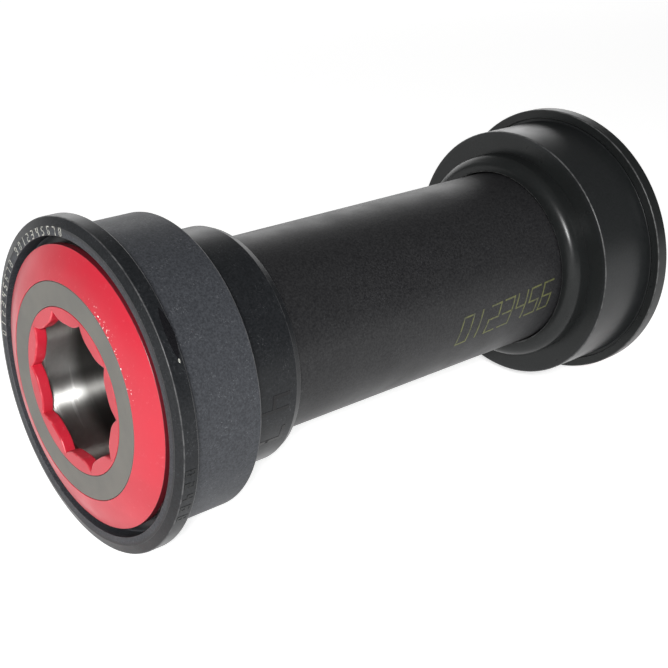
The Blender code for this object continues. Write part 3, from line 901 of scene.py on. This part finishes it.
def numbers(name, text, surface, height, pitch, stroke, slant, rise, slot_name):
    """Raised or printed numerals; surface(across, up, lift) gives a place in metres."""
    shape = bmesh.new()
    half = height / 2
    for index, numeral in enumerate(text):
        for stroke_name in NUMERALS.get(numeral, "").split():
            ends = []
            for column, row in STROKES[stroke_name]:
                up = row * half
                ends.append(Vector((index * pitch + column * half * 0.95 + up * slant, up)))
            bar(shape, surface, ends[0], ends[1], stroke, rise)
    mesh = bpy.data.meshes.new(name)
    bmesh.ops.recalc_face_normals(shape, faces=shape.faces)
    shape.to_mesh(mesh)
    shape.free()
    return dress(bpy.data.objects.new(name, mesh), "cups_and_tube", slot_name)


def bar(shape, surface, start, end, width, rise, taper=0.0):
    """One closed stroke that follows the surface, from just under it to just above it.

    With a taper of 1 it narrows to a point at both ends.
    """
    steps = 4 + math.ceil((end - start).length * 2)
    way = (end - start).normalized()
    start = start - way * width / 2
    end = end + way * width / 2
    across = Vector((-way.y, way.x)) * width / 2
    rows = []
    for step in range(steps + 1):
        spot = start.lerp(end, step / steps)
        scale = 1.0 - taper + taper * max(0.02, math.sin(math.pi * step / steps)) ** 0.6
        corners = []
        for offset, lift in ((across, rise), (-across, rise), (-across, -0.05), (across, -0.05)):
            point = spot + offset * scale
            corners.append(shape.verts.new(surface(point.x, point.y, lift)))
        rows.append(corners)
    for first, second in zip(rows, rows[1:]):
        for corner in range(4):
            beside = (corner + 1) % 4
            shape.faces.new((first[corner], first[beside], second[beside], second[corner]))
    shape.faces.new(rows[0])
    shape.faces.new(rows[-1])


def on_cylinder(radius, x_start, x_way, angle_start, angle_way, climb=0.0):
    """A surface for numbers that run along the axis of a cylinder, climbing a little as they go."""
    def surface(across, up, lift):
        angle = angle_start + angle_way * (up + climb * across) / radius
        far = (radius + lift) * MM
        return ((x_start + x_way * across) * MM, far * math.cos(angle), far * math.sin(angle))
    return surface


def round_cylinder(radius, x_start, x_way, angle_start, angle_way):
    """A surface for numbers that run round a cylinder."""
    def surface(across, up, lift):
        angle = angle_start + angle_way * across / radius
        far = (radius + lift) * MM
        return ((x_start + x_way * up) * MM, far * math.cos(angle), far * math.sin(angle))
    return surface


def on_face(side, radius, angle_start, angle_way):
    """A surface for numbers that run round the flat face of a flange."""
    def surface(across, up, lift):
        angle = angle_start + angle_way * across / radius
        return along(side, radius + up, lift, angle)
    return surface


def rim_spot(name, first, last, width, slot_name):
    """A thin spot on the edge of the non-drive flange, between two angles."""
    surface = round_cylinder(flange.radius, -FACE + 2.0, -1.0, first, 1.0)
    shape = bmesh.new()
    start = Vector((width / 2, 0.0))
    end = Vector(((last - first) * flange.radius - width / 2, 0.0))
    bar(shape, surface, start, end, width, 0.015, 1.0)
    mesh = bpy.data.meshes.new(name)
    bmesh.ops.recalc_face_normals(shape, faces=shape.faces)
    shape.to_mesh(mesh)
    shape.free()
    return dress(bpy.data.objects.new(name, mesh), "cups_and_tube", slot_name)


# ---------------------------------------------------------------- set, lights and camera

def floor():
    """The light table that the part lies on."""
    shape = bmesh.new()
    bmesh.ops.create_grid(shape, x_segments=FLOOR_CELLS, y_segments=FLOOR_CELLS, size=FLOOR_SIZE)
    bmesh.ops.translate(shape, verts=shape.verts, vec=(0.0, 0.0, cad_low.z))
    mesh = bpy.data.meshes.new("floor")
    shape.to_mesh(mesh)
    shape.free()
    mesh.materials.append(floor_paper())
    piece = bpy.data.objects.new("floor", mesh)
    bpy.context.scene.collection.objects.link(piece)


def softbox(name, place, size, power):
    """A white area light that faces the part."""
    light = bpy.data.lights.new(name, "AREA")
    light.shape = "RECTANGLE"
    light.size, light.size_y = size
    light.energy = power
    lamp = bpy.data.objects.new(name, light)
    bpy.context.scene.collection.objects.link(lamp)
    lamp.location = place
    lamp.rotation_euler = (-Vector(place)).to_track_quat("-Z", "Y").to_euler()


def lights():
    """A bright wall behind the part, one small lamp near the camera and a dim room."""
    world = bpy.data.worlds.new("studio")
    world.use_nodes = True
    background = world.node_tree.nodes["Background"]
    background.inputs["Color"].default_value = (1.0, 1.0, 1.0, 1.0)
    background.inputs["Strength"].default_value = 0.10
    bpy.context.scene.world = world
    softbox("back_wall", (0.45, 1.0, 0.33), (2.2, 0.55), 8.0)
    softbox("lamp", (-0.36, -0.42, 0.26), (0.10, 0.10), 4.4)


def camera():
    """The photo's viewpoint."""
    data = bpy.data.cameras.new("camera")
    data.lens = LENS
    data.sensor_width = 36.0
    data.clip_start = 0.01
    data.clip_end = 20.0
    view = bpy.data.objects.new("camera", data)
    bpy.context.scene.collection.objects.link(view)
    back = Vector((math.sin(AZIMUTH) * math.cos(ELEVATION),
                   -math.cos(AZIMUTH) * math.cos(ELEVATION),
                   math.sin(ELEVATION)))
    view.location = Vector(LOOK_AT) + back * DISTANCE
    view.rotation_euler = (-back).to_track_quat("-Z", "Y").to_euler()
    bpy.context.scene.camera = view


nds_cup()
ds_cup()
centre_tube()
o_ring("nds", -1)
o_ring("ds", 1)
Bearing("nds", -1, 22.0, 8.0, 3.969, 13, 1.5).build()
Bearing("ds", 1, 24.0, 7.0, 3.5, 15, 0.0).build()
nds_shield()
ds_shield()
face_ring("nds", -1, NDS_RING_INSIDE)
face_ring("ds", 1, DS_RING_INSIDE)
numbers("tube_stamp", "0123456", on_cylinder(tube.radius, 7.9, 1.0, math.radians(201), -1.0, 0.07),
        4.4, 3.0, 0.28, 0.22, 0.02, "olive_ink")
numbers("face_marks", "012345678 9012345678", on_face(-1, 20.19, math.radians(3), 1.0),
        1.0, 1.5, 0.15, 0.0, 0.02, "pale_ink")
rim_spot("rim_spot", math.radians(136.5), math.radians(152.5), 1.1, "gloss")
# A small pale mark on the flange's rim edge is a painted highlight, where the lamp's glint falls.
rim_spot("rim_painted_glint", math.radians(152.6), math.radians(154.0), 0.25, "pale_ink")
numbers("neck_marks", "47", round_cylinder(NECK_RADIUS, -31.2, 1.0, math.radians(183), 1.0),
        4.4, 5.4, 0.55, 0.0, 0.03, "gloss")
numbers("flange_marks", "02468", round_cylinder(flange.radius, -46.6, 1.0, math.radians(188), 1.0),
        1.3, 1.9, 0.2, 0.0, 0.04, "cup_smooth")
floor()
lights()
camera()
bpy.context.scene.view_settings.view_transform = "Standard"
